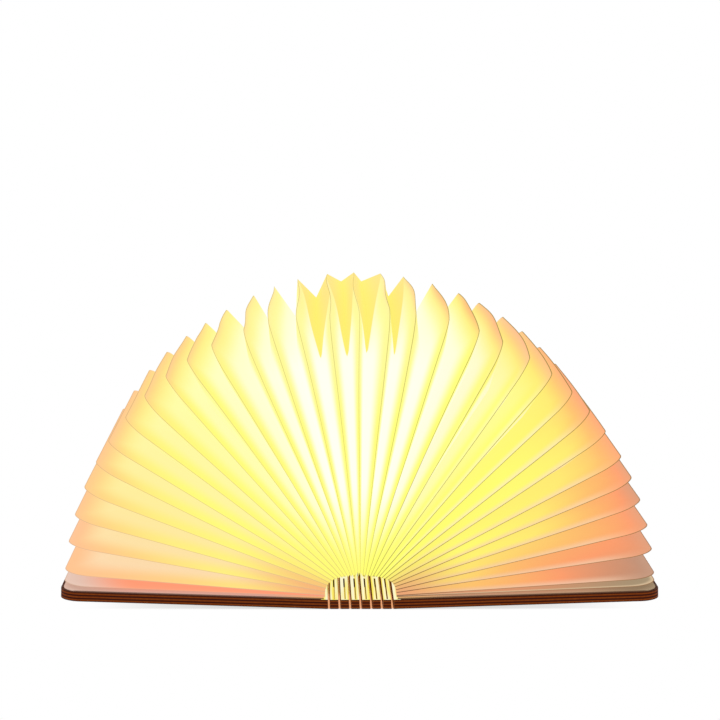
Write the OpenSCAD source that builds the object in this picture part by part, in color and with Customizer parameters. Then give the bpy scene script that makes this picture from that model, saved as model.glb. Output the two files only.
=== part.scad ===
// Folding book lamp: two plywood covers on a kerf-cut living-hinge spine, a pleated paper shade
// that fans out between them, and a slim light core fixed along the spine.
// X runs across the open covers, -Y is the front edge, Z is up, and the spine rests on Z = 0.

/* [Covers] */
// Width across both covers when they lie open
open_span = 352; // [280:1:400]
// Length of the covers and the spine, front to back
book_length = 215; // [180:1:240]
// Thickness of the plywood
ply_thickness = 5.4; // [4:0.1:5.6]
// Radius of the outer corners
corner_radius = 12; // [4:1:20]
// Rise of each open cover away from the table, in degrees
cover_tilt = 1.8; // [0:0.1:3]

/* [Living hinge] */
// Distance between neighbouring through cuts of the spine
kerf_pitch = 6.2; // [5.8:0.1:7]
// Width of a through cut
kerf_width = 1.65; // [1.6:0.05:2]
// Width of the inner slot in each spine slat
slot_width = 0.9; // [0.5:0.1:1.4]
// Wood left at each end of the inner slots
slot_end = 2; // [1:0.5:6]
// Length of the wood bridges between slots
bridge_length = 5; // [4:0.5:8]

/* [Shade] */
// Mean outer radius of the paper fan
fan_radius = 172.5; // [140:0.5:173]
// How much further the fan reaches at its sides, and less at its top
fan_stretch = 2; // [0:0.5:2.5]
// Number of pleats
pleats = 33; // [27:6:39]
// Depth of a pleat
pleat_depth = 30; // [15:1:40]
// Radius of the rounded front and rear shoulders
shoulder_radius = 16; // [8:1:24]
// Angle between the table and the folds glued to the covers, in degrees
lowest_fold = 2.5; // [2.4:0.1:4]
// Extra spread of the pleats at the top, in degrees
top_spread = 2.7; // [0:0.1:3]
// Lean of the whole fan towards the right cover, in degrees
fan_lean = 0.8; // [0:0.1:1]
// Further lean of the topmost pleats, in degrees
top_lean = 1.2; // [0:0.1:3]
// How far the valleys of the topmost pleats rise towards the rear
rear_rise = 23; // [0:1:24]
// Radial thickness of the folded sheet
sheet_thickness = 1.2; // [0.8:0.1:2]
// Half width of the arches left open over the spine
arch_half_width = 21; // [20:0.5:24]
// Height of the ridges' ends over the front arch
front_arch_height = 13; // [12:0.5:20]
// Height of the valleys' ends over the front arch
front_valley_height = 8.5; // [6:0.5:20]
// Height of the rear arch, which the core runs through
rear_arch_height = 17; // [15:0.5:20]
// Thickness of the paper glued to each cover
endpaper_thickness = 0.4; // [0.2:0.1:0.5]

/* [Light core] */
// Half width of the channel
core_half = 9.5; // [9:0.1:9.8]
// Front end of the core
core_front = -38; // [-50:1:-36]
// Height of the channel wall
channel_height = 7.2; // [7:0.1:7.4]
// Wall of the channel
channel_wall = 1; // [0.8:0.1:1]
// Rise of the diffuser above the channel
diffuser_rise = 5; // [3:0.5:5]
// Number of light chips
chip_count = 14; // [8:1:20]

/* [Hidden] */

$fn = 64;
eps = 0.01;
// Radial play of a magnet, screw or light pipe in its bore
bore_play = 0.05;
half_span = open_span / 2;
half_length = book_length / 2;
hinge_z = ply_thickness / 2;
slat_width = kerf_pitch - kerf_width;
outer_hinge = 3 * kerf_pitch;
slot_count = 4;
slot_length = (book_length - 2 * slot_end - (slot_count - 1) * bridge_length) / slot_count;

// Colours of the finishes
walnut = [0.36, 0.17, 0.07];
paper_top = [1.0, 0.93, 0.62];
paper_side = [0.98, 0.80, 0.60];
endpaper = [0.90, 0.80, 0.72];
steel = [0.75, 0.76, 0.78];
dark_plastic = [0.15, 0.15, 0.16];
board_white = [0.92, 0.93, 0.90];
board_green = [0.10, 0.35, 0.18];

// Magnets let into the boards
magnet_radius = 4;
magnet_height = 2;
magnet_inset = 15;
sensor_magnet_radius = 2;
sensor_magnet_at = [27, 72];

// Fan of pleats: its centre line and the fold lines at which its six sectors end, so that each
// sector bends through the turn of one hinge and closes inside the covers
fan_z = ply_thickness + 0.5;
front_y = half_length - 2;
arc_steps = 4;
inner_shoulder = 3;
leaves = 2 * pleats;
sector_ends = [for (share = [0, 0.182, 0.348, 0.5, 0.667, 0.833, 1]) round(leaves * share)];
sector_gap = 0.06;
rear_rise_at = 94;
rear_rise_spread = 13;

// Light core, upwards from the top of the spine
core_z = ply_thickness;
core_foot = 4.6;
core_chamfer = [8.6, 3.2];
board_step = 0.9;
board_thickness = 1;
board_z = core_z + channel_height - board_thickness;
cap_thickness = 3;
core_rear = half_length - 0.5;
channel_front = core_front + cap_thickness;
channel_rear = core_rear - cap_thickness;
diffuser_wall = 1.2;
diffuser_radius = (core_half * core_half + diffuser_rise * diffuser_rise) / (2 * diffuser_rise);
diffuser_z = core_z + channel_height + diffuser_rise - diffuser_radius;
bridge_y = slot_length + bridge_length;
screw_x = kerf_pitch / 2;
screw_radius = 0.6;
screw_head_radius = 0.95;
screw_head_height = 0.9;
screw_tip_z = 1.2;
screw_slot = [0.3, 2];
// Inner half width of the channel at its floor, above its flanks and below the board
cavity_floor = [4.1, channel_wall];
cavity_flank = [7.3, 3.8];
cavity_neck = [7.5, channel_height - board_thickness];
// Half outline of the front cap's plug, a loose fit in the cavity
plug_half = [[3.9, 1.15], [6.9, 3.8], [7.2, 4.9]];
plug_length = 1.6;
chip_size = [2.8, 3.5, 0.7];
battery_size = [9.6, 90, 3.6];
battery_front = channel_front + 5;
battery_z = core_z + 2.2;
pad_width = 3.6;
pad_margin = 5;
charge_board_y = 66;
charge_board_width = 8.8;
charge_board_thickness = 0.8;
charge_chip_size = [3.2, 4, 1];
charge_chip_pitch = 7;
charge_chip_shift = 0.6;
sensor_size = [1.6, 2.9, 1.1];
sensor_at = [2.2, charge_board_y + 5];
usb_size = [8.94, 7.35, 3.26];
usb_wall = 0.3;
usb_z = core_z + 3.9;
usb_opening_play = 0.2;
tongue_size = [6.6, 5.4, 0.7];
charge_board_z = usb_z - usb_size[2] / 2 - charge_board_thickness;
pipe_radius = 0.8;
pipe_at = [6.9, 4.6];
pipe_end = 0.3;

// ---------- shared shapes ----------

// Turns what is drawn for the right cover up by the rise of the cover, about its hinge line
module on_cover() {
    translate([outer_hinge, 0, hinge_z]) rotate([0, -cover_tilt, 0])
        translate([-outer_hinge, 0, -hinge_z]) children();
}

// Outline of a board from x0 to x1 whose outer corners are round
module board_outline(x0, x1, half, radius) {
    translate([x0, -half]) square([x1 - radius - x0, 2 * half]);
    translate([x0, -half + radius]) square([x1 - x0, 2 * (half - radius)]);
    for (s = [-1, 1]) translate([x1 - radius, s * (half - radius)]) circle(radius);
}

// Draws a child profile in the XZ plane and runs it from y0 to y1
module along_y(y0, y1) {
    translate([0, y1, 0]) rotate([90, 0, 0]) linear_extrude(y1 - y0) children();
}

// A stadium, length across, for the socket and its hole
module stadium(length, height) {
    square([length - height, height], center = true);
    for (s = [-1, 1]) translate([s * (length - height) / 2, 0]) circle(height / 2);
}

// ---------- covers ----------

module magnet_places() {
    for (s = [-1, 1])
        translate([half_span - magnet_inset, s * (half_length - magnet_inset), 0]) children();
}

module cover_board(sensor) {
    on_cover() difference() {
        linear_extrude(ply_thickness)
            board_outline(outer_hinge + kerf_width / 2, half_span, half_length, corner_radius);
        magnet_places() translate([0, 0, ply_thickness - magnet_height])
            cylinder(h = magnet_height + 1, r = magnet_radius + bore_play);
        if (sensor) translate([sensor_magnet_at[0], sensor_magnet_at[1], ply_thickness - magnet_height])
            cylinder(h = magnet_height + 1, r = sensor_magnet_radius + bore_play);
    }
}

module left_cover() { color(walnut) mirror([1, 0, 0]) cover_board(false); }
module right_cover() { color(walnut) cover_board(true); }

module cover_magnets() {
    color(steel) on_cover() magnet_places()
        translate([0, 0, ply_thickness - magnet_height]) cylinder(h = magnet_height, r = magnet_radius);
}

module cover_magnets_left() { mirror([1, 0, 0]) cover_magnets(); }
module cover_magnets_right() { cover_magnets(); }

module sensor_magnet() {
    color(steel) on_cover()
        translate([sensor_magnet_at[0], sensor_magnet_at[1], ply_thickness - magnet_height])
            cylinder(h = magnet_height, r = sensor_magnet_radius);
}

module endpaper_sheet() {
    color(endpaper) on_cover() translate([0, 0, ply_thickness])
        linear_extrude(endpaper_thickness)
            board_outline(outer_hinge + kerf_pitch / 2, half_span - 1.5, front_y + 0.5, corner_radius);
}

module endpaper_left() { mirror([1, 0, 0]) endpaper_sheet(); }
module endpaper_right() { endpaper_sheet(); }

// ---------- living hinge ----------

// The row of inner slots that lets a slat twist
module slat_slots(x) {
    for (i = [0 : slot_count - 1])
        translate([x - slot_width / 2, -half_length + slot_end + i * (slot_length + bridge_length), -eps])
            cube([slot_width, slot_length, ply_thickness + 2 * eps]);
}

// One slat of the spine, centred on x
module slat(x) {
    color(walnut) difference() {
        translate([x - slat_width / 2, -half_length, 0]) cube([slat_width, book_length, ply_thickness]);
        slat_slots(x);
    }
}

// The two middle slats, cut from one piece: the middle kerf leaves two bridges standing
module spine_centre() {
    color(walnut) difference() {
        translate([-kerf_pitch + kerf_width / 2, -half_length, 0])
            cube([2 * kerf_pitch - kerf_width, book_length, ply_thickness]);
        for (s = [-1, 1]) slat_slots(s * kerf_pitch / 2);
        for (s = [-1, 1])
            translate([-kerf_width / 2, s > 0 ? bridge_y / 2 + bridge_length / 2 : -half_length - eps, -eps])
                cube([kerf_width, half_length - bridge_y / 2 - bridge_length / 2 + eps,
                    ply_thickness + 2 * eps]);
        translate([-kerf_width / 2, -bridge_y / 2 + bridge_length / 2, -eps])
            cube([kerf_width, bridge_y - bridge_length, ply_thickness + 2 * eps]);
        core_screw_places() translate([0, 0, screw_tip_z])
            cylinder(h = ply_thickness, r = screw_radius + bore_play);
    }
}

module spine_left_inner() { slat(-1.5 * kerf_pitch); }
module spine_left_outer() { slat(-2.5 * kerf_pitch); }
module spine_right_inner() { slat(1.5 * kerf_pitch); }
module spine_right_outer() { slat(2.5 * kerf_pitch); }

// ---------- pleated shade ----------

// Angle of a fold line that hangs free, by its share of the fan from -1 to 1
function free_angle(share) =
    90 + 90 * share + top_spread * sin(180 * share) - top_lean * cos(90 * share) - fan_lean;

// Angle of fold line i, from the right cover (0) round to the left cover (leaves): the outermost
// lines are glued down and the next ones lie halfway to the first free ones
function fold_share(i) = 2 * i / leaves - 1;
function fold_angle(i) =
    i == 0 ? lowest_fold : i == leaves ? 180 - lowest_fold
        : i == 1 ? (lowest_fold + free_angle(fold_share(2))) / 2
        : i == leaves - 1 ? (180 - lowest_fold + free_angle(fold_share(leaves - 2))) / 2
        : free_angle(fold_share(i));

// Depth of the valley at the rear, where the topmost pleats lie almost open
function rear_depth(angle) =
    pleat_depth - rear_rise * exp(-pow((angle - rear_rise_at) / rear_rise_spread, 2));

// Radius of an arch of a given height at an angle round the fan
function arch_radius(angle, height) =
    1 / sqrt(pow(cos(angle) / arch_half_width, 2) + pow(sin(angle) / height, 2));

// Outer radius at an angle round the fan
function outer_radius(angle) = fan_radius + fan_stretch * cos(2 * angle);

// Half a fold line in radius and length, from its foot at the arch to the end of its shoulder;
// inset moves it into the fan
function shoulder(inset) = max(shoulder_radius - inset, inner_shoulder);
function half_path(outer, inset, foot) =
    let (r = outer - inset, y = front_y - inset, c = shoulder(inset))
    concat([[foot, y]],
        [for (k = [0 : arc_steps]) let (a = 90 * k / arc_steps)
            [r - c + c * sin(a), y - c + c * cos(a)]]);

// A whole fold line: up the front, along the top and down the rear
function fold_path(outer, front_inset, rear_inset, front_foot, rear_foot) =
    let (rear = half_path(outer, rear_inset, rear_foot))
    concat([for (q = half_path(outer, front_inset, front_foot)) [q[0], -q[1]]],
        [for (k = [len(rear) - 1 : -1 : 0]) rear[k]]);
path_points = 2 * (arc_steps + 2);

// Folds alternate: an even fold line is a ridge and an odd one lies a pleat depth inside
function fold_points(i, angle, skin) =
    let (ridge = i % 2 == 0, front_height = ridge ? front_arch_height : front_valley_height,
        path = fold_path(outer_radius(angle), (ridge ? 0 : pleat_depth) + skin,
            (ridge ? 0 : rear_depth(angle)) + skin,
            arch_radius(angle, front_height), arch_radius(angle, rear_arch_height)))
    [for (q = path) [q[0] * cos(angle), q[1], fan_z + q[0] * sin(angle)]];

// Angle of a sector's line, drawn in a hair at both ends so neighbouring sectors don't touch
function sector_angle(i, first, last) =
    fold_angle(i) + (i == first ? sector_gap : 0) - (i == last ? sector_gap : 0);

// One sector of the folded sheet as a closed solid: an outer skin, an inner skin and a rim
module shade_sector(number) {
    first = sector_ends[number];
    last = sector_ends[number + 1];
    rows = last - first + 1;
    cols = path_points;
    skin_size = rows * cols;
    points = [for (s = [0, sheet_thickness]) for (i = [first : last])
        for (p = fold_points(i, sector_angle(i, first, last), s)) p];
    outer = [for (r = [0 : rows - 2]) for (c = [0 : cols - 2])
        let (a = r * cols + c) each [[a, a + 1, a + cols + 1], [a, a + cols + 1, a + cols]]];
    inner = [for (f = outer) [f[2] + skin_size, f[1] + skin_size, f[0] + skin_size]];
    side_rim = [for (c = [0 : cols - 2]) let (a = c, b = (rows - 1) * cols + c) each [
        [a + 1, a, a + skin_size], [a + 1, a + skin_size, a + 1 + skin_size],
        [b, b + 1, b + skin_size], [b + 1, b + 1 + skin_size, b + skin_size]]];
    foot_rim = [for (r = [0 : rows - 2]) let (a = r * cols, b = r * cols + cols - 1) each [
        [a, a + cols, a + skin_size], [a + cols, a + cols + skin_size, a + skin_size],
        [b + cols, b, b + skin_size], [b + cols, b + skin_size, b + cols + skin_size]]];
    polyhedron(points, concat(outer, inner, side_rim, foot_rim), convexity = 12);
}

module shade_right_low() { color(paper_side) shade_sector(0); }
module shade_right_mid() { color(paper_top) shade_sector(1); }
module shade_right_top() { color(paper_top) shade_sector(2); }
module shade_left_top() { color(paper_top) shade_sector(3); }
module shade_left_mid() { color(paper_top) shade_sector(4); }
module shade_left_low() { color(paper_side) shade_sector(5); }

// ---------- light core ----------

// Outer section of the channel: its foot stands on the middle slats and its flanks lean out,
// so the outer slats can fold up past it
channel_half = [[core_foot, 0], core_chamfer, [core_half, core_chamfer[1] + 2],
    [core_half, channel_height]];
cavity_half = [cavity_floor, cavity_flank, cavity_neck, [core_half - board_step, cavity_neck[1]],
    [core_half - board_step, channel_height + eps]];

// A half outline and its mirror image, stood on top of the spine
module core_section(half) {
    last = len(half) - 1;
    mirrored = [for (k = [last : -1 : 0]) [-half[k][0], half[k][1]]];
    translate([0, core_z]) polygon(concat(half, mirrored));
}

module diffuser_segment(radius) {
    intersection() {
        translate([0, diffuser_z]) circle(radius);
        translate([-core_half, core_z + channel_height]) square([2 * core_half, diffuser_rise + 1]);
    }
}

module core_screw_places() {
    for (x = [-screw_x, screw_x]) for (y = [0, bridge_y]) translate([x, y, 0]) children();
}

module core_channel() {
    color(steel) difference() {
        along_y(channel_front, channel_rear) core_section(channel_half);
        along_y(channel_front - 1, channel_rear + 1) core_section(cavity_half);
        core_screw_places() cylinder(h = core_z + 3, r = screw_radius + bore_play);
    }
}

module core_screws() {
    color(steel) core_screw_places() {
        translate([0, 0, screw_tip_z])
            cylinder(h = core_z + channel_wall - screw_tip_z + eps, r = screw_radius);
        translate([0, 0, core_z + channel_wall]) difference() {
            cylinder(h = screw_head_height, r = screw_head_radius);
            translate([-screw_slot[0] / 2, -screw_slot[1] / 2, screw_head_height / 2])
                cube([screw_slot[0], screw_slot[1], screw_head_height]);
        }
    }
}

module diffuser() {
    color([1, 1, 0.96]) along_y(channel_front, channel_rear) difference() {
        diffuser_segment(diffuser_radius);
        diffuser_segment(diffuser_radius - diffuser_wall);
    }
}

module cap_section() {
    core_section(channel_half);
    diffuser_segment(diffuser_radius);
}

module front_cap() {
    color(dark_plastic) {
        along_y(core_front, channel_front) cap_section();
        along_y(channel_front - eps, channel_front + plug_length) core_section(plug_half);
    }
}

module rear_cap() {
    color(dark_plastic) difference() {
        along_y(channel_rear, core_rear) cap_section();
        translate([0, 0, usb_z]) along_y(channel_rear - 1, core_rear + 1)
            stadium(usb_size[0] + usb_opening_play, usb_size[2] + usb_opening_play);
        translate([pipe_at[0], 0, core_z + pipe_at[1]]) along_y(channel_rear - 1, core_rear + 1)
            circle(pipe_radius + bore_play);
    }
}

module led_board() {
    color(board_white) translate([-core_half + board_step + 0.1, channel_front + 1, board_z])
        cube([2 * (core_half - board_step - 0.1), channel_rear - channel_front - 2, board_thickness]);
}

module led_chips() {
    pitch = (channel_rear - channel_front) / chip_count;
    color([1, 0.85, 0.3]) for (i = [0 : chip_count - 1])
        translate([-chip_size[0] / 2, channel_front + (i + 0.5) * pitch - chip_size[1] / 2,
            board_z + board_thickness]) cube(chip_size);
}

module battery() {
    color([0.35, 0.55, 0.75]) translate([-battery_size[0] / 2, battery_front, battery_z])
        cube(battery_size);
}

module battery_pad() {
    color(dark_plastic) translate([-pad_width / 2, battery_front + pad_margin, core_z + channel_wall])
        cube([pad_width, battery_size[1] - 2 * pad_margin, battery_z - core_z - channel_wall]);
}

module charge_board() {
    color(board_green) translate([-charge_board_width / 2, charge_board_y, charge_board_z])
        cube([charge_board_width, channel_rear - charge_board_y - 0.2, charge_board_thickness]);
}

module charge_chips() {
    color(dark_plastic) for (i = [0 : 2])
        translate([(i - 1) * charge_chip_shift - charge_chip_size[0] / 2,
            charge_board_y + charge_chip_size[1] + charge_chip_pitch * i,
            charge_board_z + charge_board_thickness]) cube(charge_chip_size);
}

module hall_sensor() {
    color(dark_plastic)
        translate([sensor_at[0], sensor_at[1], charge_board_z + charge_board_thickness])
            cube(sensor_size);
}

module usb_shell() {
    color(steel) translate([0, 0, usb_z]) difference() {
        along_y(core_rear - usb_size[1], core_rear) stadium(usb_size[0], usb_size[2]);
        along_y(core_rear - usb_size[1] + 1, core_rear + 1)
            stadium(usb_size[0] - 2 * usb_wall, usb_size[2] - 2 * usb_wall);
    }
}

module usb_tongue() {
    color(dark_plastic)
        translate([-tongue_size[0] / 2, core_rear - usb_size[1] + 1, usb_z - tongue_size[2] / 2])
            cube(tongue_size);
}

module light_pipe() {
    color([0.9, 0.95, 0.9]) translate([pipe_at[0], 0, core_z + pipe_at[1]])
        along_y(channel_rear, core_rear + pipe_end) circle(pipe_radius);
}

left_cover();
right_cover();
endpaper_left();
endpaper_right();
spine_centre();
spine_left_inner();
spine_left_outer();
spine_right_inner();
spine_right_outer();
shade_left_low();
shade_left_mid();
shade_left_top();
shade_right_top();
shade_right_mid();
shade_right_low();
cover_magnets_left();
cover_magnets_right();
sensor_magnet();
core_channel();
core_screws();
diffuser();
front_cap();
rear_cap();
led_board();
led_chips();
battery();
battery_pad();
charge_board();
charge_chips();
hall_sensor();
usb_shell();
usb_tongue();
light_pipe();
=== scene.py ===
"""Looks of a folding book lamp: plywood covers, a kerf-cut spine and a glowing paper shade."""
import logging
import math
from collections.abc import Sequence
from dataclasses import dataclass, field
from enum import Enum
from typing import Any

import bpy
import numpy as np
from mathutils import Matrix, Vector


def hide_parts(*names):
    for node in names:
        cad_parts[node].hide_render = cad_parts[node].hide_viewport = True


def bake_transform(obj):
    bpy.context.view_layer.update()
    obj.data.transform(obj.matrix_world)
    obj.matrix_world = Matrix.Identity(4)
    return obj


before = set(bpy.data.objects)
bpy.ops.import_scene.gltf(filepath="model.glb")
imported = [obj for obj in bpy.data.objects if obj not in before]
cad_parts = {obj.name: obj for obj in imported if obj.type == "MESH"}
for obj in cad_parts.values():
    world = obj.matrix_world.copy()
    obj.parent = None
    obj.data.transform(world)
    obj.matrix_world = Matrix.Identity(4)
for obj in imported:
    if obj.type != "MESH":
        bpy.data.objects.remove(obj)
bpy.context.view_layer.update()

MM = 0.001
log = logging.getLogger("book_lamp")

Colour = tuple[float, float, float]


def paint(red: int, green: int, blue: int) -> Colour:
    """Turns a display colour into the linear one that the shaders use.

    Args:
        red: Red, 0 to 255.
        green: Green, 0 to 255.
        blue: Blue, 0 to 255.

    Returns:
        The linear colour, each channel 0 to 1.
    """

    def linear(value: int) -> float:
        """One channel on the linear scale."""
        share = value / 255
        return share / 12.92 if share <= 0.04045 else ((share + 0.055) / 1.055) ** 2.4

    return linear(red), linear(green), linear(blue)


# ---------- shader maths ----------


class Signal:
    """A number that varies over a surface, with the sums that are used on it."""

    def __init__(self, bench: "Bench", socket: bpy.types.NodeSocket) -> None:
        """Wraps an output socket of the bench's node tree."""
        self.bench = bench
        self.socket = socket

    def _sum(self, operation: str, first: Any, second: Any, clamp: bool = False) -> "Signal":
        """Adds one Math node and wraps its result.

        Args:
            operation: Operation of the node.
            first: First value or signal.
            second: Second value or signal.
            clamp: Whether the result is held between 0 and 1.

        Returns:
            The result.
        """
        node = self.bench.add(
            "ShaderNodeMath", {"operation": operation, "use_clamp": clamp}, {0: first, 1: second}
        )
        return Signal(self.bench, node.outputs[0])

    def __add__(self, other: Any) -> "Signal":
        """Sum of two signals."""
        return self._sum("ADD", self, other)

    __radd__ = __add__

    def __sub__(self, other: Any) -> "Signal":
        """Difference of two signals."""
        return self._sum("SUBTRACT", self, other)

    def __rsub__(self, other: Any) -> "Signal":
        """Difference, with the signal taken away."""
        return self._sum("SUBTRACT", other, self)

    def __mul__(self, other: Any) -> "Signal":
        """Product of two signals."""
        return self._sum("MULTIPLY", self, other)

    __rmul__ = __mul__

    def __truediv__(self, other: Any) -> "Signal":
        """Quotient of two signals."""
        return self._sum("DIVIDE", self, other)

    def __pow__(self, other: Any) -> "Signal":
        """Power of a signal."""
        return self._sum("POWER", self, other)

    def clamp(self) -> "Signal":
        """The signal held between 0 and 1."""
        return self._sum("ADD", self, 0.0, clamp=True)

    def size(self) -> "Signal":
        """The signal without its sign."""
        return self._sum("ABSOLUTE", self, 0.0)

    def off_whole(self) -> "Signal":
        """How far the signal is from the nearest whole number."""
        return self._sum("PINGPONG", self, 0.5)

    def over(self, limit: float) -> "Signal":
        """1 where the signal is above a limit, else 0."""
        return self._sum("GREATER_THAN", self, limit)

    def step(self, low: float, high: float) -> "Signal":
        """A smooth rise from 0 at low to 1 at high, or a fall where low is the larger.

        Args:
            low: Value at which the step is 0.
            high: Value at which the step is 1.

        Returns:
            The smooth step.
        """
        falls = low > high
        start, end = (high, low) if falls else (low, high)
        node = self.bench.add(
            "ShaderNodeMapRange",
            {"interpolation_type": "SMOOTHSTEP"},
            {"Value": self, "From Min": start, "From Max": end, "To Min": 0.0, "To Max": 1.0},
        )
        rise = Signal(self.bench, node.outputs["Result"])
        return 1.0 - rise if falls else rise


class Bench:
    """One material's node tree and the calls that build it."""

    def __init__(self, name: str) -> None:
        """Starts an empty material.

        Args:
            name: Name of the material.
        """
        self.material = bpy.data.materials.new(name)
        self.material.use_nodes = True
        self.tree = self.material.node_tree
        self.tree.nodes.clear()

    def add(
        self,
        kind: str,
        settings: dict[str, Any] | None = None,
        inputs: dict[Any, Any] | None = None,
    ) -> bpy.types.Node:
        """Adds one node: its settings are set first, then its sockets.

        Args:
            kind: Type of the node.
            settings: Properties of the node; "stops" holds a ramp's places and colours.
            inputs: Socket name or number to a value, a Signal or an output socket.

        Returns:
            The new node.
        """
        node = self.tree.nodes.new(kind)
        for name, value in (settings or {}).items():
            if name == "stops":
                self._set_stops(node, value)
            else:
                setattr(node, name, value)
        for name, value in (inputs or {}).items():
            socket = node.inputs[name]
            if isinstance(value, Signal):
                self.tree.links.new(value.socket, socket)
            elif isinstance(value, bpy.types.NodeSocket):
                self.tree.links.new(value, socket)
            elif isinstance(value, tuple) and socket.type == "RGBA":
                socket.default_value = (*value[:3], 1.0)
            else:
                socket.default_value = value
        return node

    @staticmethod
    def _set_stops(node: bpy.types.Node, stops: Sequence[tuple[float, Colour]]) -> None:
        """Fills a colour ramp.

        Args:
            node: The ramp's node.
            stops: Places along the ramp with their colours.
        """
        ramp = node.color_ramp
        while len(ramp.elements) < len(stops):
            ramp.elements.new(1.0)
        for element, (place, colour) in zip(ramp.elements, stops):
            element.position = place
            element.color = (*colour, 1.0)

    def ramp(self, value: Signal, stops: Sequence[tuple[float, Colour]]) -> bpy.types.NodeSocket:
        """A colour that follows a signal through the given stops."""
        node = self.add("ShaderNodeValToRGB", {"stops": stops}, {"Fac": value})
        return node.outputs["Color"]

    def attribute(self, name: str) -> Signal:
        """A number stored on the mesh."""
        node = self.add("ShaderNodeAttribute", {"attribute_name": name})
        return Signal(self, node.outputs["Fac"])

    def mix(self, share: Any, first: Any, second: Any) -> bpy.types.NodeSocket:
        """Mixes two colours.

        Args:
            share: Share of the second colour.
            first: First colour or socket.
            second: Second colour or socket.

        Returns:
            The mixed colour.
        """
        node = self.add(
            "ShaderNodeMix", {"data_type": "RGBA"}, {0: share, 6: first, 7: second}
        )
        return node.outputs[2]

    def place(self, scale: Sequence[float] = (1, 1, 1)) -> bpy.types.NodeSocket:
        """The piece's own coordinates in metres, stretched by a scale.

        Args:
            scale: Stretch along X, Y and Z.

        Returns:
            The coordinates.
        """
        source = self.add("ShaderNodeTexCoord").outputs["Object"]
        node = self.add("ShaderNodeVectorMath", {"operation": "MULTIPLY"}, {0: source, 1: scale})
        return node.outputs["Vector"]

    def along(self, vector: Any, direction: Sequence[float]) -> Signal:
        """How far a vector reaches along a direction."""
        node = self.add(
            "ShaderNodeVectorMath", {"operation": "DOT_PRODUCT"}, {0: vector, 1: tuple(direction)}
        )
        return Signal(self, node.outputs["Value"])

    def facing(self, direction: Sequence[float]) -> Signal:
        """How squarely the surface of the piece at rest faces a direction."""
        normal = self.add("ShaderNodeTexCoord").outputs["Normal"]
        return self.along(normal, direction)

    def noise(self, scale: Sequence[float], detail: float = 4, roughness: float = 0.55) -> Signal:
        """Cloudy noise, from 0 to 1.

        Args:
            scale: Clouds per metre along X, Y and Z.
            detail: Octaves of the noise.
            roughness: Weight of the finer octaves.

        Returns:
            The noise.
        """
        node = self.add(
            "ShaderNodeTexNoise",
            None,
            {"Vector": self.place(scale), "Scale": 1.0, "Detail": detail, "Roughness": roughness},
        )
        return Signal(self, node.outputs["Fac"])

    def bump(self, height: Signal, distance: float, strength: float = 1.0) -> bpy.types.NodeSocket:
        """A normal that follows a height map."""
        node = self.add(
            "ShaderNodeBump", None, {"Height": height, "Distance": distance, "Strength": strength}
        )
        return node.outputs["Normal"]

    def finish(self, **sockets: Any) -> bpy.types.Material:
        """Ends the tree in a Principled shader.

        Args:
            **sockets: Its sockets, with underscores for the spaces in their names.

        Returns:
            The material.
        """
        inputs = {name.replace("_", " "): value for name, value in sockets.items()}
        shader = self.add("ShaderNodeBsdfPrincipled", None, inputs)
        out = self.add("ShaderNodeOutputMaterial")
        self.tree.links.new(shader.outputs["BSDF"], out.inputs["Surface"])
        return self.material


# ---------- finishes ----------


class Side(Enum):
    """The two halves of the open book, with the sign of their X."""

    LEFT = -1
    RIGHT = 1

    @property
    def word(self) -> str:
        """The side's name in lower case."""
        return self.name.lower()


@dataclass(frozen=True)
class Plywood:
    """Stained plywood with laser-cut edges: dark glue lines between paler plies."""

    name: str
    normal: tuple[float, float, float] = (0.0, 0.0, 1.0)
    base: float = 0.0
    thickness: float = 5.4 * MM
    half_length: float = 107.5 * MM
    lit_half: float = 0.0
    plies: int = 3

    def material(self) -> bpy.types.Material:
        """Makes the finish.

        Returns:
            The material.
        """
        bench = Bench(self.name)
        grain = bench.noise((900, 14, 900), detail=6, roughness=0.65)
        figure = bench.noise((55, 5, 55), detail=3)
        wobble = bench.noise((60, 60, 60), detail=2) - 0.5
        level = (bench.along(bench.place(), self.normal) - self.base) / self.thickness
        plies = level * self.plies + wobble * 0.16
        stripe = (plies.off_whole() * 2).step(0.30, 0.70)
        rim = (level - 0.5).size().step(0.40, 0.47)
        ply = bench.mix(grain, paint(82, 22, 0), paint(138, 67, 9))
        edge = bench.mix(stripe * (1 - rim), paint(49, 6, 0), ply)
        veneer = bench.ramp(
            (figure * 0.55 + grain * 0.45).clamp(),
            ((0.25, paint(46, 20, 8)), (0.5, paint(74, 36, 16)), (0.78, paint(104, 58, 28))),
        )
        face = bench.facing(self.normal).size().step(0.6, 0.9)
        return bench.finish(
            Base_Color=bench.mix(face, edge, veneer),
            Roughness=0.78 - 0.14 * grain,
            Specular_IOR_Level=0.08,
            Emission_Color=self._glow(bench, level),
            Emission_Strength=0.9,
            Normal=bench.bump(grain * 0.7 + stripe * 0.3, 0.00025, 0.6),
        )

    def _glow(self, bench: Bench, level: Signal) -> bpy.types.NodeSocket:
        """Painted light of the core on the upper face beside the spine and in the cuts, with painted
        shade low down in the cuts.

        Args:
            bench: The material's node tree.
            level: Height through the board, 0 to 1.

        Returns:
            The glowing colour.
        """
        upper = bench.facing(self.normal).step(0.6, 0.9)
        front = bench.along(bench.place(), (0, -1 / self.half_length, 0)) * 1000
        across = bench.along(bench.place(), (1000, 0, 0)).size()
        beside = across.step(self.lit_half + 0.5, self.lit_half)
        # painted light on the upper face, streaked from yellow to white
        streak = bench.noise((420, 9, 420), detail=2)
        top = bench.mix(streak.step(0.38, 0.62), paint(255, 244, 96), paint(255, 255, 214))
        top = bench.mix(upper * front.step(999.0, 992.0), (0.0, 0.0, 0.0), top)
        cut = bench.facing((1, 0, 0)).size().step(0.6, 0.9)
        # painted shade low in the cuts, brighter higher up, and a painted glow at their front ends
        wall = bench.mix(level.step(0.45, 1.1), paint(70, 28, 6), paint(164, 104, 36))
        wall = bench.mix(front.step(984.0, 998.0), wall, paint(255, 205, 150))
        return bench.mix(beside, (0.0, 0.0, 0.0), bench.mix(cut, top, wall))


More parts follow.
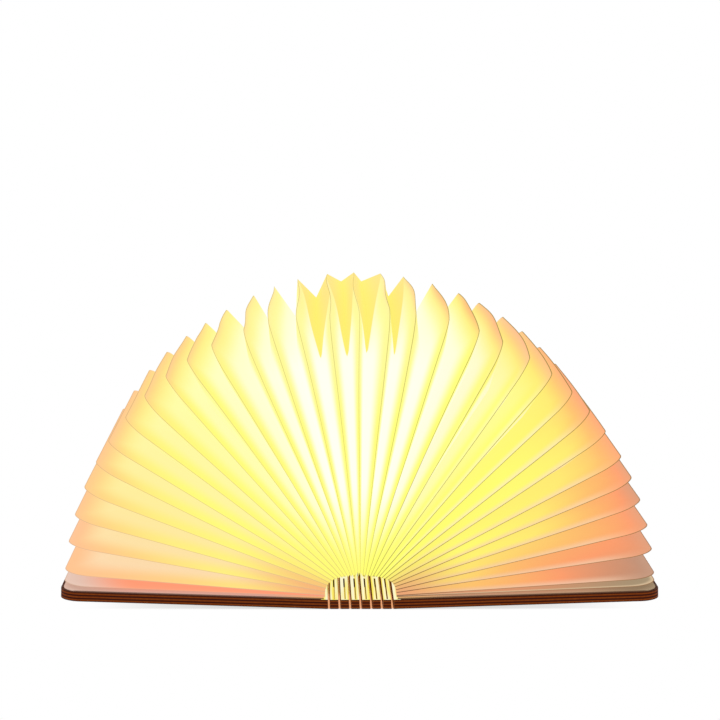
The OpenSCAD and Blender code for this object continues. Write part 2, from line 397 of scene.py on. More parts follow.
class Sheet:
    """The numbers stored at the points of the folded sheet, and those made from them."""

    def __init__(self, bench: Bench) -> None:
        """Reads the stored numbers.

        Args:
            bench: The material's node tree.
        """
        self.bench = bench
        self.fold = bench.attribute("fold")  # 0 on a leaf's ridge, 1 in its valley
        self.reach = bench.attribute("reach")  # 0 on the fan's axis, 1 at its rim
        self.turn = bench.attribute("turn")  # 0 at the right cover, 1 at the left one
        self.crown = bench.attribute("crown")  # 0 on the front and rear faces, 1 on top
        self.leftward = bench.attribute("leftward")  # 1 on leaves that fall away to the left
        self.lap = bench.attribute("lap")  # number of the leaf, from the right cover
        self.clouds = bench.attribute("clouds")
        self.lean = 1 - (self.turn * 2 - 1).size()
        self.right = self.turn.step(0.52, 0.40)
        self.centre = (self.turn - 0.53).size().step(0.20, 0.04)


@dataclass(frozen=True)
class GlowingPaper:
    """Translucent folded paper lit by the core inside it."""

    name: str = "glowing_paper"
    strength: float = 0.76
    body: float = 0.24
    top_run: float = 180 * MM
    right_leaves: float = 2.0
    left_leaves: float = 64.0

    def material(self) -> bpy.types.Material:
        """Makes the finish from the numbers that the sheet stores at its points: the core's light
        and the shade of the folds are painted into one colour, which the paper also gives off.

        Returns:
            The material.
        """
        bench = Bench(self.name)
        sheet = Sheet(bench)
        colour = bench.mix(self._washed_out(sheet), self._saturated(sheet), self._pale(sheet))
        for paint_in in (self._painted_trough_light, self._painted_pink_light, self._ends, self._creases):
            colour = paint_in(sheet, colour)
        fibre = bench.noise((420, 420, 420), detail=5, roughness=0.7)
        return bench.finish(
            Base_Color=bench.mix(self.body, (0.0, 0.0, 0.0), colour),
            Roughness=0.85,
            Specular_IOR_Level=0.15,
            Emission_Color=colour,
            Emission_Strength=self.strength,
            Normal=bench.bump(fibre, 0.0002, 0.35),
        )

    @staticmethod
    def _pale(sheet: Sheet) -> bpy.types.NodeSocket:
        """Colour of the leaves that the light washes out.

        Args:
            sheet: Numbers stored on the sheet.

        Returns:
            The colour round the fan.
        """
        return sheet.bench.ramp(
            sheet.turn,
            (
                (0.0, paint(238, 200, 172)),
                (0.12, paint(250, 212, 172)),
                (0.28, paint(255, 248, 200)),
                (0.42, paint(255, 255, 240)),
                (0.58, paint(255, 255, 244)),
                (0.74, paint(255, 252, 178)),
                (0.88, paint(255, 240, 168)),
                (1.0, paint(251, 218, 190)),
            ),
        )

    @staticmethod
    def _washed_out(sheet: Sheet) -> Signal:
        """Where painted light washes a leaf out: towards its valley, and low down towards its ridge.

        Args:
            sheet: Numbers stored on the sheet.

        Returns:
            1 where the leaf is washed out, else 0.
        """
        fold, reach, turn = sheet.fold, sheet.reach, sheet.turn
        valley = fold.step(0.08, 0.70)
        low_right = turn.step(0.38, 0.24)
        low_left = turn.step(0.62, 0.80)
        ridge = fold.step(0.32, 0.0) * 0.8
        left_wall = valley * (1 - low_right) + ridge * low_right
        left_wall = left_wall * (1 - low_left) + low_left * 0.72
        share = sheet.leftward * left_wall + (1 - sheet.leftward) * valley
        share = share * reach.step(0.06, 0.40) * (1 - sheet.centre * reach.step(0.80, 1.05))
        return share * (1 - 0.9 * low_right * reach.step(0.82, 1.0))

    @staticmethod
    def _saturated(sheet: Sheet) -> bpy.types.NodeSocket:
        """Painted light where the paper is not washed out: yellow near the core, peach further away.

        Args:
            sheet: Numbers stored on the sheet.

        Returns:
            The colour.
        """
        bench, reach, lean, right = sheet.bench, sheet.reach, sheet.lean, sheet.right
        power = (0.45 + (lean * 5.5) ** 2) * (1.5 - 0.5 * right)
        warmth = (1 - lean * 0.80) * reach**power + sheet.clouds * 0.05
        warmth = (warmth * (0.84 + right * 0.16)).clamp()
        left_side = bench.ramp(
            warmth,
            (
                (0.0, paint(255, 251, 128)),
                (0.30, paint(255, 238, 134)),
                (0.55, paint(255, 216, 136)),
                (0.80, paint(255, 196, 146)),
                (1.0, paint(248, 196, 170)),
            ),
        )
        right_side = bench.ramp(
            warmth,
            (
                (0.0, paint(255, 255, 122)),
                (0.30, paint(255, 238, 122)),
                (0.55, paint(254, 200, 118)),
                (0.80, paint(253, 166, 117)),
                (1.0, paint(194, 150, 124)),
            ),
        )
        colour = bench.mix(right, left_side, right_side)
        # painted light: paler towards the top of the middle leaves
        paler = sheet.centre * reach.step(0.55, 0.90) * 0.45
        return bench.mix(paler, colour, paint(254, 246, 184))

    def _painted_trough_light(self, sheet: Sheet, colour: bpy.types.NodeSocket) -> bpy.types.NodeSocket:
        """Painted light: amber wedges on the topmost leaves, in the colour of the lit rear of the
        sheet, painted on and not a second sheet.

        Args:
            sheet: Numbers stored on the sheet.
            colour: Colour of the sheet so far.

        Returns:
            The colour with the wedges painted in.
        """
        bench, fold, turn, leftward = sheet.bench, sheet.fold, sheet.turn, sheet.leftward
        high = (turn - 0.504).size().step(0.074, 0.062)
        outward = leftward * turn.step(0.52, 0.47) + (1 - leftward) * turn.step(0.50, 0.55)
        back = bench.along(bench.place(), (0, 1, 0)) / self.top_run + 0.5
        brim = (0.36 + 0.58 * outward) * (1 - fold)
        # painted light: amber wedges behind the front brim of the top
        trough_light = (back - brim).step(0.0, 0.05) * sheet.crown.step(0.60, 0.95) * high
        amber = bench.mix(fold.step(0.15, 1.0), paint(254, 229, 134), paint(252, 240, 122))
        return bench.mix(trough_light, colour, amber)

    @staticmethod
    def _painted_pink_light(sheet: Sheet, colour: bpy.types.NodeSocket) -> bpy.types.NodeSocket:
        """Painted light: the lowest leaves near the spine glow pink.

        Args:
            sheet: Numbers stored on the sheet.
            colour: Colour of the sheet so far.

        Returns:
            The colour with the pink painted in.
        """
        bench, reach, turn = sheet.bench, sheet.reach, sheet.turn
        left = turn.step(0.80, 0.96) * reach.step(0.50, 0.14)
        right = turn.step(0.25, 0.04) * reach.step(0.42, 0.14)
        # painted pink light on the lowest leaves, left and right
        colour = bench.mix(left * 0.85, colour, paint(246, 172, 134))
        return bench.mix(right * 0.85, colour, paint(236, 166, 130))

    def _ends(self, sheet: Sheet, colour: bpy.types.NodeSocket) -> bpy.types.NodeSocket:
        """Painted light and shade of the last pleat on each side, which lies against its cover:
        salmon light on the left, brownish shade on the right.

        Args:
            sheet: Numbers stored on the sheet.
            colour: Colour of the sheet so far.

        Returns:
            The colour with both ends painted in.
        """
        bench, reach, lap = sheet.bench, sheet.reach, sheet.lap
        salmon = bench.mix(reach.step(0.78, 1.0), paint(255, 168, 130), paint(232, 202, 186))
        shade = bench.mix(reach.step(0.55, 1.0), paint(222, 160, 120), paint(176, 156, 126))
        # painted highlight: cream along the ridges of the right end
        shade = bench.mix(sheet.fold.step(0.12, 0.02), shade, paint(222, 196, 160))
        colour = bench.mix(lap.over(self.left_leaves), colour, salmon)
        return bench.mix(1 - lap.over(self.right_leaves), colour, shade)

    @staticmethod
    def _creases(sheet: Sheet, colour: bpy.types.NodeSocket) -> bpy.types.NodeSocket:
        """Painted shade along the ridges: fine dark lines, wider and darker towards the spine.

        Args:
            sheet: Numbers stored on the sheet.
            colour: Colour of the sheet so far.

        Returns:
            The colour with the lines drawn in.
        """
        bench, reach, turn = sheet.bench, sheet.reach, sheet.turn
        crease_shade = bench.ramp(
            turn,
            (
                (0.0, paint(150, 105, 70)),
                (0.25, paint(140, 120, 50)),
                (0.55, paint(190, 178, 96)),
                (0.80, paint(205, 170, 118)),
                (1.0, paint(214, 178, 150)),
            ),
        )
        # painted shade: the lines turn dark brown low down on the right, near the spine
        spine_shade = turn.step(0.22, 0.06) * reach.step(0.45, 0.15)
        crease_shade = bench.mix(spine_shade, crease_shade, paint(104, 62, 40))
        width = sheet.fold - reach.step(0.5, 0.1) * 0.025
        line = width.step(0.022, 0.010) * reach.step(-0.6, 0.3)
        return bench.mix(line * (0.66 + 0.24 * sheet.right), colour, crease_shade)


@dataclass(frozen=True)
class Endpaper:
    """Matt paper glued to a cover, tinted by the light that falls past the lowest pleat."""

    name: str
    side: Side
    front_y: float
    shaded_depth: float = 40 * MM
    half_width: float = 173 * MM

    def material(self) -> bpy.types.Material:
        """Makes the finish.

        Returns:
            The material.
        """
        bench = Bench(self.name)
        inward = bench.along(bench.place(), (0, 1, 0)).size()
        depth = (self.front_y - inward) / self.shaded_depth
        out = bench.along(bench.place(), (self.side.value, 0, 0)) / self.half_width
        fibre = bench.noise((300, 300, 300), detail=5, roughness=0.7)
        # painted shade: a dark brown line along the front edge
        edge_shade = depth.step(0.035, 0.0) * 0.8
        if self.side is Side.LEFT:
            edge, deep, tip = paint(226, 200, 188), paint(252, 158, 116), paint(222, 190, 174)
        else:
            edge, deep, tip = paint(214, 178, 148), paint(196, 130, 96), paint(172, 150, 122)
        # painted light and shade: a stripe behind the front edge, another tone at the outer tip, and
        # the core's yellow near the spine
        stripe = depth.step(0.10, 0.34) * out.step(0.99, 0.82)
        colour = bench.mix(stripe, edge, deep)
        colour = bench.mix(out.step(0.7, 1.0), colour, tip)
        colour = bench.mix(out.step(0.35, 0.12), colour, paint(255, 214, 150))
        # painted shade along the front edge
        colour = bench.mix(edge_shade, colour, paint(74, 32, 10))
        return bench.finish(
            Base_Color=bench.mix(0.55, (0.0, 0.0, 0.0), colour),
            Roughness=0.9,
            Specular_IOR_Level=0.1,
            Emission_Color=colour,
            Emission_Strength=0.42,
            Normal=bench.bump(fibre, 0.0002, 0.3),
        )


@dataclass(frozen=True)
class Metal:
    """Metal with fine brushing along one axis."""

    name: str
    colour: Colour
    roughness: float = 0.35
    brushing: tuple[float, float, float] = (40, 2500, 2500)

    def material(self) -> bpy.types.Material:
        """Makes the finish.

        Returns:
            The material.
        """
        bench = Bench(self.name)
        lines = bench.noise(self.brushing, detail=3)
        smudge = bench.noise((90, 90, 90), detail=2)
        return bench.finish(
            Base_Color=bench.mix(lines * 0.35, self.colour, tuple(0.8 * c for c in self.colour)),
            Metallic=1.0,
            Roughness=(self.roughness + (lines - 0.5) * 0.12 + (smudge - 0.5) * 0.1).clamp(),
            Normal=bench.bump(lines, 0.00004, 0.5),
        )


@dataclass(frozen=True)
class Moulding:
    """Moulded or coated plastic with a fine spark texture."""

    name: str
    colour: Colour
    roughness: float = 0.55
    grain: float = 1800
    glow: Colour = (0.0, 0.0, 0.0)
    glow_strength: float = 0.0
    depth: float = 0.00005

    def material(self) -> bpy.types.Material:
        """Makes the finish.

        Returns:
            The material.
        """
        bench = Bench(self.name)
        spark = bench.noise((self.grain,) * 3, detail=3)
        tone = bench.noise((60, 60, 60), detail=2)
        return bench.finish(
            Base_Color=bench.mix(tone * 0.3, self.colour, tuple(0.82 * c for c in self.colour)),
            Roughness=(self.roughness + (spark - 0.5) * 0.14).clamp(),
            Emission_Color=self.glow,
            Emission_Strength=self.glow_strength,
            Normal=bench.bump(spark, self.depth, 0.5),
        )


# ---------- pieces ----------


def new_piece(name: str, points: np.ndarray, faces: np.ndarray) -> bpy.types.Object:
    """Makes a mesh object from points and quads.

    Args:
        name: Name of the piece.
        points: Its points in metres, one row each.
        faces: Its quads, one row of four point numbers each.

    Returns:
        The linked object.
    """
    mesh = bpy.data.meshes.new(name)
    mesh.from_pydata(points.tolist(), [], faces.tolist())
    mesh.update()
    piece = bpy.data.objects.new(name, mesh)
    bpy.context.scene.collection.objects.link(piece)
    return piece


def store(piece: bpy.types.Object, name: str, values: np.ndarray) -> None:
    """Stores one number per point on a piece's mesh."""
    layer = piece.data.attributes.new(name, "FLOAT", "POINT")
    layer.data.foreach_set("value", values.astype(np.float32).ravel())


def dress(node: str, material: bpy.types.Material) -> None:
    """Gives a construction node its finish and reports it.

    Args:
        node: Name of the node.
        material: Its finish.
    """
    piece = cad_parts[node]
    if not piece.material_slots:
        piece.data.materials.append(material)
    for slot in piece.material_slots:
        slot.material = material
    log.info("node %s: %s", node, material.name)


@dataclass
class PleatedShade:
    """The paper fan: sixty-six leaves folded between the covers, in six sectors."""

    # outer shape of the fan
    radius: float = 172.5 * MM
    stretch: float = 2 * MM
    front_y: float = 105.5 * MM
    axis_z: float = 5.9 * MM
    # pleats
    pleats: int = 33
    depth: float = 30 * MM
    shoulder: float = 16 * MM
    inner_shoulder: float = 3 * MM
    paper: float = 0.13 * MM
    # valleys at the rear, which rise round one angle in degrees
    rear_rise: float = 25 * MM
    rear_rise_at: float = 91.0
    rear_rise_spread: float = 13.0
    # arch that is left open over the spine
    arch_half: float = 21 * MM
    ridge_arch: float = 13 * MM
    valley_arch: float = 8.5 * MM
    rear_arch: float = 17 * MM
    arch_power: float = 3.1
    rear_arch_power: float = 3.0
    # angles of the fold lines in degrees
    lowest: float = 2.5
    spread: float = 2.7
    lean: float = 0.8
    top_lean: float = 1.2
    end_opening: float = 1.3
    end_line: float = 61.5
    end_lines: float = 1.2
    uneven: tuple[tuple[float, float, float], ...] = ((0.30, 1.9, 0.0), (0.22, 0.83, 1.0))
    uneven_shift: float = -0.35
    settled: tuple[tuple[int, float], ...] = ((22, -0.5), (23, -0.8), (24, -0.5), (33, 0.9))
    # slack of the paper: the front sags left of one line, the rear round another
    sag: float = 5.5 * MM
    sag_line: int = 34
    sag_lines: int = 9
    sag_power: float = 1.3
    sag_past_middle: float = 0.35
    rear_sag: float = 3.5 * MM
    rear_sag_line: int = 45
    rear_sag_lines: int = 5
    # bow of the top between front and rear, round one angle in degrees
    bow: float = 3.4 * MM
    bow_at: float = 70.0
    bow_spread: float = 24.0
    bow_valley: float = 0.4
    bow_skew: float = 0.85
    # ripple of the leaves: its height and how it changes by line, along the line and outwards
    ripple: float = 0.5 * MM
    ripple_waves: tuple[float, float, float] = (2.3, 3.6, 5.0)
    # steps of the mesh, and a crease's share of its leaf
    across: int = 9
    leg_steps: int = 26
    arc_steps: int = 11
    run_steps: int = 20
    crease: float = 0.012
    # painted shade: reach added towards the fold lines; tint: faint clouds round the fan and
    # outwards
    fold_shade_reach: float = 0.06
    cloud_waves: tuple[float, float] = (61.0, 7.0)

    @property
    def leaves(self) -> int:
        """Number of leaves of the whole fan."""
        return 2 * self.pleats

    def free_angle(self, line: int) -> float:
        """Angle of a fold line that hangs free.

        Args:
            line: Number of the fold line, 0 at the right cover.

        Returns:
            The angle above the right cover, in degrees.
        """
        share = 2 * line / self.leaves - 1
        loose = math.cos(math.pi / 2 * share)
        degrees = 90 + 90 * share + self.spread * math.sin(math.pi * share)
        degrees -= self.top_lean * loose + self.lean
        degrees += self.end_opening / (1 + math.exp((self.end_line - line) / self.end_lines))
        degrees += dict(self.settled).get(line, 0.0)
        waves = sum(size * math.sin(rate * line + start) for size, rate, start in self.uneven)
        return degrees + loose * (waves + self.uneven_shift)

    def angle(self, line: int) -> float:
        """Angle of a fold line, with both ends of the sheet held by the covers.

        Args:
            line: Number of the fold line, 0 at the right cover.

        Returns:
            The angle above the right cover, in radians.
        """
        last = self.leaves
        if line in (0, last):
            degrees = self.lowest if line == 0 else 180 - self.lowest
        elif line == 1:
            degrees = (self.lowest + self.free_angle(2)) / 2
        elif line == last - 1:
            degrees = (180 - self.lowest + self.free_angle(last - 2)) / 2
        else:
            degrees = self.free_angle(line)
        return math.radians(degrees)

    def outer_radius(self, angle: float) -> float:
        """Outer radius at an angle round the fan: a little more at the sides than at the top."""
        return self.radius + self.stretch * math.cos(2 * angle)

    def rear_depth(self, angle: float) -> float:
        """Depth of a valley at the rear, where the topmost pleats lie almost open."""
        away = (math.degrees(angle) - self.rear_rise_at) / self.rear_rise_spread
        return self.depth - self.rear_rise * math.exp(-(away**2))

    def foot(self, angle: float, height: float, power: float) -> float:
        """Radius of the arch that the paper leaves open over the spine.

        Args:
            angle: Angle round the fan.
            height: Height of the arch.
            power: 2 for an ellipse, more for a squarer arch.

        Returns:
            The radius.
        """
        across = abs(math.cos(angle) / self.arch_half) ** power
        upward = (math.sin(angle) / height) ** power
        return (across + upward) ** (-1 / power)

    def half_path(
        self, outer: float, inset: float, foot: float
    ) -> tuple[np.ndarray, np.ndarray, np.ndarray]:
        """Half a fold line, from its foot at the arch to the end of its shoulder.

        Args:
            outer: Outer radius of the fan at the line.
            inset: How far the line lies inside the fan's outer shape.
            foot: Radius at which it starts.

        Returns:
            Radii, distances from the middle, and the crown share, 0 on the face and 1 on top.
        """
        corner = max(self.shoulder - inset, self.inner_shoulder)
        r, y = outer - inset, self.front_y - inset
        leg = np.linspace(0, 1, self.leg_steps)[:-1]
        arc = np.linspace(0, math.pi / 2, self.arc_steps)
        straight = foot + (r - corner - foot) * leg
        radii = np.concatenate([straight, r - corner + corner * np.sin(arc)])
        places = np.concatenate([np.full_like(leg, y), y - corner + corner * np.cos(arc)])
        crown = np.concatenate([np.zeros_like(leg), arc / (math.pi / 2)])
        return radii, places, crown

    def line_points(self, line: int) -> tuple[np.ndarray, np.ndarray, np.ndarray]:
        """Follows one fold line up the front, over the top and down the rear.

        Args:
            line: Number of the fold line, 0 at the right cover.

        Returns:
            Its points, their crown share, and their reach from the axis, 1 at the outer radius.
        """
        angle = self.angle(line)
        ridge = line % 2 == 0
        outer = self.outer_radius(angle)
        front_arch = self.ridge_arch if ridge else self.valley_arch
        front_inset, rear_inset = (0.0, 0.0) if ridge else (self.depth, self.rear_depth(angle))
        front_foot = self.foot(angle, front_arch, self.arch_power)
        rear_foot = self.foot(angle, self.rear_arch, self.rear_arch_power)
        front_r, front_y, front_crown = self.half_path(outer, front_inset, front_foot)
        rear_r, rear_y, rear_crown = self.half_path(outer, rear_inset, rear_foot)
        run = np.linspace(0, 1, self.run_steps)[1:-1]
        away = (math.degrees(angle) - self.bow_at) / self.bow_spread
        bow = self.bow * math.exp(-(away**2)) * (1.0 if ridge else self.bow_valley)
        run_r = front_r[-1] + (rear_r[-1] - front_r[-1]) * run
        run_r = run_r + bow * np.sin(math.pi * run**self.bow_skew)
        run_y = -front_y[-1] + (rear_y[-1] + front_y[-1]) * run
        radii = np.concatenate([front_r, run_r, rear_r[::-1]])
        places = np.concatenate([-front_y, run_y, rear_y[::-1]])
        crown = np.concatenate([front_crown, np.ones_like(run), rear_crown[::-1]])
        high = np.clip(radii / self.radius, 0, 1)
        past = self.sag_past_middle
        front = np.clip((-places / self.front_y + past) / (1 + past), 0, 1)
        rear = np.clip(places / self.front_y, 0, 1)
        beyond = line - self.sag_line
        slack = max(0.0, 1 - beyond / self.sag_lines) ** self.sag_power if beyond >= 0 else 0.0
        rear_slack = math.exp(-(((line - self.rear_sag_line) / self.rear_sag_lines) ** 2))
        radii = radii - high**3 * (self.sag * slack * front + self.rear_sag * rear_slack * rear)
        sway = 2 * self.ripple / self.radius * high**2 * max(math.sin(angle), 0.0)
        by_line, along, outwards = self.ripple_waves
        turn = angle + sway * np.sin(
            by_line * line + along * places / self.front_y + outwards * high
        )
        height = self.axis_z + radii * np.sin(turn)
        points = np.stack([radii * np.cos(turn), places, height], axis=1)
        return points, crown, radii / self.radius

    def sector(self, first: int, last: int) -> tuple[np.ndarray, np.ndarray, dict[str, np.ndarray]]:
        """Lays the sheet from one fold line to another.

        Args:
            first: Number of the fold line at its right end.
            last: Number of the fold line at its left end.

        Returns:
            Points, quads, and the values stored at each point.
        """
        even = np.linspace(0, 1, self.across + 1)[1:]
        steps = np.concatenate([[0, self.crease, 2 * self.crease], even])
        rows: list[np.ndarray] = []
        names = ("fold", "turn", "reach", "crown", "leftward", "lap")
        stored: dict[str, list[np.ndarray]] = {name: [] for name in names}
        quads: list[np.ndarray] = []
        count = 0
        for line in range(first, last):
            start, crown_a, reach_a = self.line_points(line)
            end, crown_b, reach_b = self.line_points(line + 1)
            ridge_first = line % 2 == 0
            shares = steps if ridge_first else 1 - steps[::-1]
            turn_a, turn_b = self.angle(line) / math.pi, self.angle(line + 1) / math.pi
            columns = len(start)
            for share in shares:
                rows.append(start + (end - start) * share)
                # painted shade towards the fold lines, through a larger reach
                fold_shading = self.fold_shade_reach * abs(share - 0.5)
                stored["fold"].append(np.full(columns, share if ridge_first else 1 - share))
                stored["turn"].append(np.full(columns, turn_a + (turn_b - turn_a) * share))
                stored["reach"].append(reach_a + (reach_b - reach_a) * share + fold_shading)
                stored["crown"].append(crown_a + (crown_b - crown_a) * share)
                stored["leftward"].append(np.full(columns, 1.0 if ridge_first else 0.0))
                stored["lap"].append(np.full(columns, line + 0.5))
            grid = count + np.arange(len(shares) * columns).reshape(len(shares), columns)
            block = np.stack([grid[:-1, :-1], grid[:-1, 1:], grid[1:, 1:], grid[1:, :-1]], axis=-1)
            quads.append(block.reshape(-1, 4))
            count += len(shares) * columns
        values = {name: np.concatenate(parts) for name, parts in stored.items()}
        round_fan, outwards = self.cloud_waves
        values["clouds"] = np.sin(values["turn"] * round_fan + values["reach"] * outwards)
        return np.concatenate(rows), np.concatenate(quads), values

    def build(self) -> None:
        """Builds the six sectors at the place of their nodes, which it hides."""
        finish = GlowingPaper().material()
        plan = (
            ("shade_right_low", "right_outer_slat", "right_board", 0, 12, 0),
            ("shade_right_mid", "right_inner_slat", "right_outer_slat", 12, 23, 12),
            ("shade_right_top", "spine", "right_inner_slat", 23, 33, 23),
            ("shade_left_top", "spine", "left_inner_slat", 33, 44, 34),
            ("shade_left_mid", "left_inner_slat", "left_outer_slat", 44, 55, 44),
            ("shade_left_low", "left_outer_slat", "left_board", 55, 66, 55),
        )
        for node, near, far, first, last, bent in plan:
            points, quads, values = self.sector(first, last)
            piece = new_piece(node.replace("shade", "shade_paper"), points, quads)
            for name, numbers in values.items():
                store(piece, name, numbers)
            thick = piece.modifiers.new("paper", "SOLIDIFY")
            thick.thickness = self.paper
            thick.offset = 0
            self._apply(piece)
            for polygon in piece.data.polygons:
                polygon.use_smooth = False
            piece.data.materials.append(finish)
            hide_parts(node)
            self._bend(piece, self.angle(bent), self.angle(last))
            log.info("piece %s for node %s", piece.name, node)

    @staticmethod
    def _apply(piece: bpy.types.Object) -> None:
        """Turns the piece's modifiers into mesh.

        Args:
            piece: The piece.
        """
        graph = bpy.context.evaluated_depsgraph_get()
        mesh = bpy.data.meshes.new_from_object(piece.evaluated_get(graph))
        piece.modifiers.clear()
        piece.data = mesh

    def _bend(self, piece: bpy.types.Object, low: float, high: float) -> None:
        """Bakes the sheet's transform into its mesh and reads its points; it shares no turn over the
        pleats.

        Args:
            piece: The sheet.
            low: Angle at which the bend would start, on the sector's right; not used.
            high: Angle at which it would end, on its left; not used.
        """
        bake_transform(piece)
        count = len(piece.data.vertices)
        places = np.empty(count * 3)
        piece.data.vertices.foreach_get("co", places)
        places = places.reshape(-1, 3)


@dataclass
class Covers:
    """The two plywood boards with their endpapers and magnets."""

    tilt: float = 1.8
    hinge_x: float = 18.6 * MM
    hinge_z: float = 2.7 * MM
    thickness: float = 5.4 * MM
    front_y: float = 105.5 * MM
    lit_half: float = 23.0

    def dress(self) -> None:
        """Finishes the boards, endpapers and magnets."""
        nickel = Metal("nickel", (0.72, 0.71, 0.68), 0.25).material()
        lean = math.radians(self.tilt)
        for side in Side:
            normal = Vector((-side.value * math.sin(lean), 0, math.cos(lean)))
            middle = Vector((side.value * self.hinge_x, 0, self.hinge_z)).dot(normal)
            board = Plywood(
                f"plywood_{side.word}",
                normal=tuple(normal),
                base=middle - self.thickness / 2,
                thickness=self.thickness,
                lit_half=self.lit_half,
            )
            endpaper = Endpaper(f"endpaper_{side.word}", side, self.front_y)
            dress(f"{side.word}_cover", board.material())
            dress(endpaper.name, endpaper.material())
            dress(f"cover_magnets_{side.word}", nickel)
        dress("sensor_magnet", nickel)


@dataclass
class Spine:
    """The kerf-cut slats between the covers."""

    slats: tuple[str, ...] = (
        "spine_centre",
        "spine_left_inner",
        "spine_left_outer",
        "spine_right_inner",
        "spine_right_outer",
    )

    def dress(self) -> None:
        """Finishes the slats, lit from above by the core."""
        wood = Plywood("plywood_spine", lit_half=23.0).material()
        for node in self.slats:
            dress(node, wood)


@dataclass
class LightCore:
    """The lamp's works on the spine: channel, light board, cell and charging socket."""

    warm: Colour = field(default_factory=lambda: paint(255, 232, 150))
    charged: Colour = field(default_factory=lambda: paint(120, 255, 140))

    def dress(self) -> None:
        """Finishes every piece of the core."""
        steel = Metal("tinned_steel", (0.62, 0.62, 0.64), 0.3)
        channel = Metal("anodised_channel", (0.78, 0.78, 0.80), 0.38, (2500, 40, 2500))
        black = Moulding("black_moulding", (0.02, 0.02, 0.022), 0.5)
        chip = Moulding("chip_epoxy", (0.012, 0.012, 0.013), 0.42, grain=3500)
        dome = Moulding("frosted_diffuser", (0.9, 0.88, 0.8), 0.6, 900, self.warm, 1.0)
        # painted light: the white board glows with the light of its chips
        board = Moulding("white_board", (0.80, 0.81, 0.78), 0.45, glow=self.warm, glow_strength=0.5)
        phosphor = Moulding("phosphor", (0.95, 0.70, 0.20), 0.3, glow=self.warm, glow_strength=3.0)
        cell = Moulding("cell_wrap", (0.08, 0.18, 0.35), 0.28, grain=400)
        foam = Moulding("foam", (0.02, 0.02, 0.02), 0.95, grain=1200, depth=0.0003)
        green = Moulding("green_board", (0.015, 0.09, 0.035), 0.4, grain=900)
        pipe = Moulding("clear_pipe", (0.75, 0.85, 0.75), 0.15, glow=self.charged, glow_strength=0.3)
        finishes: dict[Metal | Moulding, tuple[str, ...]] = {
            channel: ("core_channel",),
            steel: ("core_screws", "usb_shell"),
            dome: ("diffuser",),
            black: ("front_cap", "rear_cap"),
            board: ("led_board",),
            phosphor: ("led_chips",),
            cell: ("battery",),
            foam: ("battery_pad",),
            green: ("charge_board",),
            chip: ("charge_chips", "hall_sensor", "usb_tongue"),
            pipe: ("light_pipe",),
        }
        for finish, nodes in finishes.items():
            material = finish.material()
            for node in nodes:
                dress(node, material)


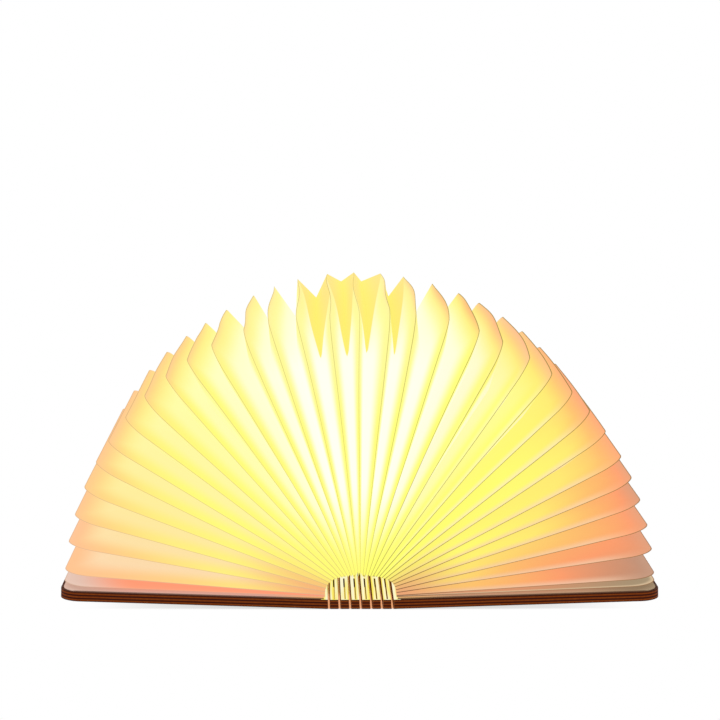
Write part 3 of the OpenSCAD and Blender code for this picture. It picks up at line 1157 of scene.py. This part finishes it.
@dataclass
class Studio:
    """Pale floor, soft light and the camera."""

    camera_place: tuple[float, float, float] = (-0.028, -1.345, 0.331)
    yaw: float = 1.24
    pitch: float = 8.45
    roll: float = 0.29
    focal_pixels: float = 2178.0
    frame_pixels: float = 720.0
    sensor: float = 36.0
    farthest: float = 50.0
    floor_size: float = 14.0
    spine_half: float = 21.5
    cut_spacing: float = 6.2 * MM

    def build(self) -> None:
        """Sets the floor, the lights and the camera."""
        scene = bpy.context.scene
        scene.view_settings.view_transform = "Standard"
        self._floor()
        self._world(scene)
        self._lamp("key", power=6.0, place=(-0.9, -1.3, 2.2), size=1.6)
        self._camera(scene)

    def _floor(self) -> None:
        """A pale sheet that the lamp stands on."""
        half = self.floor_size / 2
        points = np.array([(-half, -half, 0), (half, -half, 0), (half, half, 0), (-half, half, 0)])
        floor = new_piece("floor", points, np.array([[0, 1, 2, 3]]))
        floor.data.materials.append(self._floor_finish())

    def _floor_finish(self) -> bpy.types.Material:
        """White floor that shows only where something lies right on it.

        Elsewhere it is clear and lets the even white round it through, so covers that are folded
        back under the spine stay in view. Below the spine it takes the amber of the light that
        falls through the cuts and slots, and the brown shade of the slats between them.

        Returns:
            The material.
        """
        bench = Bench("floor_white")
        cover = bench.add(
            "ShaderNodeAmbientOcclusion", {"samples": 8, "only_local": False}, {"Distance": 5 * MM}
        )
        sky = Signal(bench, cover.outputs["AO"])
        sideways = bench.along(bench.place(), (1000, 0, 0)).size()
        spine = sideways.step(self.spine_half + 1.0, self.spine_half - 1.0)
        shadow = sky.step(0.85, 0.1) * 0.4
        leak = spine * sky.step(0.50, 0.36)
        cuts = bench.along(bench.place(), (1 / self.cut_spacing, 0, 0))
        from_cut = cuts.off_whole() * (self.cut_spacing / MM)
        front = bench.along(bench.place(), (0, -1000, 0)).step(66.0, 82.0)
        amber = bench.mix(front, paint(176, 122, 40), paint(236, 160, 104))
        light = bench.mix(from_cut.step(0.66, 0.36), paint(70, 28, 6), amber)
        light = bench.mix(from_cut.step(2.2, 2.6), light, paint(236, 206, 92))
        fibre = bench.noise((300, 300, 300), detail=3)
        return bench.finish(
            Base_Color=(0.0, 0.0, 0.0),
            Roughness=0.95,
            Specular_IOR_Level=0.0,
            Alpha=leak + (1 - leak) * shadow,
            Emission_Color=bench.mix(leak, paint(150, 146, 142), light),
            Emission_Strength=1.0,
            Normal=bench.bump(fibre, 0.0001, 0.2),
        )

    @staticmethod
    def _world(scene: bpy.types.Scene) -> None:
        """Even white light from all round.

        Args:
            scene: The scene that it lights.
        """
        world = bpy.data.worlds.new("studio")
        world.use_nodes = True
        sky = world.node_tree.nodes["Background"]
        sky.inputs["Color"].default_value = (1, 1, 1, 1)
        sky.inputs["Strength"].default_value = 1.0
        scene.world = world

    @staticmethod
    def _lamp(name: str, power: float, place: tuple[float, float, float], size: float) -> None:
        """One soft area light aimed at the middle of the lamp.

        Args:
            name: Name of the light.
            power: Its power in watts.
            place: Where it hangs, in metres.
            size: Length of its sides in metres.
        """
        light = bpy.data.lights.new(name, "AREA")
        light.energy = power
        light.size = size
        lamp = bpy.data.objects.new(name, light)
        lamp.location = place
        aim = Vector((0, 0, 0.05)) - Vector(place)
        lamp.rotation_euler = aim.to_track_quat("-Z", "Y").to_euler()
        bpy.context.scene.collection.objects.link(lamp)

    def _camera(self, scene: bpy.types.Scene) -> None:
        """The camera in front of the lamp, a little above it.

        Args:
            scene: The scene that it looks at.
        """
        lens = bpy.data.cameras.new("camera")
        lens.sensor_width = self.sensor
        lens.lens = self.focal_pixels * self.sensor / self.frame_pixels
        lens.clip_end = self.farthest
        camera = bpy.data.objects.new("camera", lens)
        yaw = Matrix.Rotation(-math.radians(self.yaw), 4, "Z")
        pitch = Matrix.Rotation(math.radians(90 - self.pitch), 4, "X")
        roll = Matrix.Rotation(math.radians(self.roll), 4, "Z")
        camera.matrix_world = Matrix.Translation(self.camera_place) @ yaw @ pitch @ roll
        scene.collection.objects.link(camera)
        scene.camera = camera


def main() -> None:
    """Builds the studio and dresses the lamp."""
    logging.basicConfig(level=logging.INFO, format="%(name)s: %(message)s")
    Studio().build()
    Covers().dress()
    Spine().dress()
    LightCore().dress()
    PleatedShade().build()


if __name__ == "__main__":
    main()
